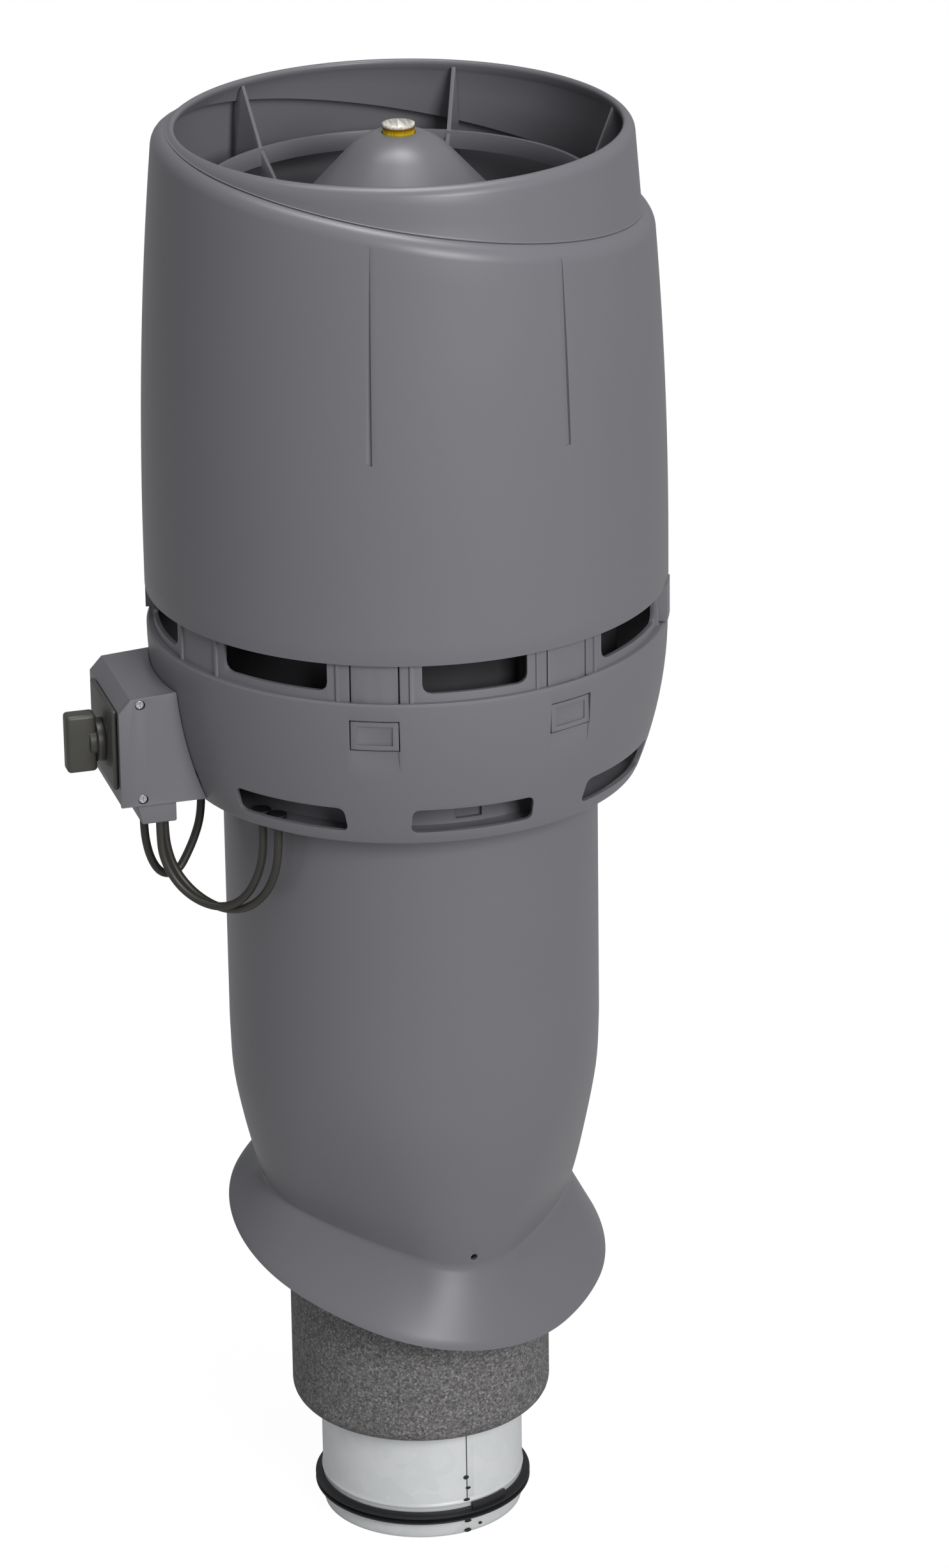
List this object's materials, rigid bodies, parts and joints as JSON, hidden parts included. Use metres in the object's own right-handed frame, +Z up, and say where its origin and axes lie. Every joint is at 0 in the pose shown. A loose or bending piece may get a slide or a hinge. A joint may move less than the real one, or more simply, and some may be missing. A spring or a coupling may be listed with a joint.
{
  "type": "roof exhaust fan",
  "caption": "Roof exhaust fan: round moulded head with a slanted shoulder and upward outlet, insulated column with a sloping roof flange, round duct spigot and a side safety switch.",
  "frame": {"origin": "centre of the duct spigot's lower end", "axes": "+Z up along the duct and the fan's axis; -Y is the front, which the picture faces, and +X is to its right"},
  "size_m": [0.3599, 0.3104, 0.893],
  "materials": {
    "hood_plastic": "fine satin grain",
    "casing_plastic": "fine satin grain",
    "guide_plastic": "fine satin grain",
    "inner_plastic": "satin",
    "foam": "moulded bead foam",
    "galvanised_steel": "galvanised sheet",
    "bearing_steel": "ground",
    "motor_aluminium": "die-cast",
    "seal_rubber": "matt",
    "switch_plastic": "satin",
    "cable_sheath": "satin",
    "level_amber": "clear",
    "level_fluid": "clear",
    "level_clear": "clear"
  },
  "bodies": {
    "frame": {"duct": "galvanised_steel", "duct_seal": "seal_rubber", "foam_sleeve": "foam", "casing": "casing_plastic", "bowl": "casing_plastic", "fan_chamber": "inner_plastic", "inlet_cone": "galvanised_steel", "motor_stator": "motor_aluminium", "bearing_lower": "bearing_steel", "bearing_upper": "bearing_steel", "motor_plate": "galvanised_steel", "motor_screws": "bearing_steel", "cowl_screws": "bearing_steel", "motor_cowl": "guide_plastic", "outlet_guide": "guide_plastic", "level_cup": "level_amber", "level_liquid": "level_fluid", "level_lens": "level_clear", "hood": "hood_plastic", "switch_box": "casing_plastic", "box_cover": "casing_plastic", "box_screws": "bearing_steel", "cable_entry": "casing_plastic", "switch_plate": "switch_plastic", "isolator_block": "inner_plastic", "cable_grommets": "seal_rubber", "motor_cable": "cable_sheath", "supply_cable": "cable_sheath", "control_cable": "cable_sheath"},
    "rotor": {"impeller": "inner_plastic", "motor_rotor": "motor_aluminium", "motor_shaft": "bearing_steel"},
    "knob": {"switch_knob": "switch_plastic"},
    "latch_1": {"hood_latch_1": "hood_plastic"},
    "latch_2": {"hood_latch_2": "hood_plastic"},
    "latch_3": {"hood_latch_3": "hood_plastic"},
    "latch_4": {"hood_latch_4": "hood_plastic"}
  },
  "joints": [
    {"name": "fan_spin", "type": "hinge", "parent": "frame", "child": "rotor", "pos_m": [0, 0, 0.63], "axis": [0, 0, 1], "continuous": true},
    {"name": "switch_turn", "type": "hinge", "parent": "frame", "child": "knob", "pos_m": [-0.18133, -0.04962, 0.533], "axis": [-0.9659, -0.2588, 0], "range_deg": [0, 90]},
    {"name": "latch_1_flex", "type": "hinge", "parent": "frame", "child": "latch_1", "pos_m": [-0.01942, -0.14752, 0.646], "axis": [0.9914, -0.1305, 0], "range_deg": [0, 3], "stiffness_Nm_per_rad": 3},
    {"name": "latch_2_flex", "type": "hinge", "parent": "frame", "child": "latch_2", "pos_m": [0.09058, -0.11804, 0.646], "axis": [0.7934, 0.6088, 0], "range_deg": [0, 3], "stiffness_Nm_per_rad": 3},
    {"name": "latch_3_flex", "type": "hinge", "parent": "frame", "child": "latch_3", "pos_m": [0.01942, 0.14752, 0.646], "axis": [-0.9914, 0.1305, 0], "range_deg": [0, 3], "stiffness_Nm_per_rad": 3},
    {"name": "latch_4_flex", "type": "hinge", "parent": "frame", "child": "latch_4", "pos_m": [-0.09058, 0.11804, 0.646], "axis": [-0.7934, -0.6088, 0], "range_deg": [0, 3], "stiffness_Nm_per_rad": 3}
  ]
}
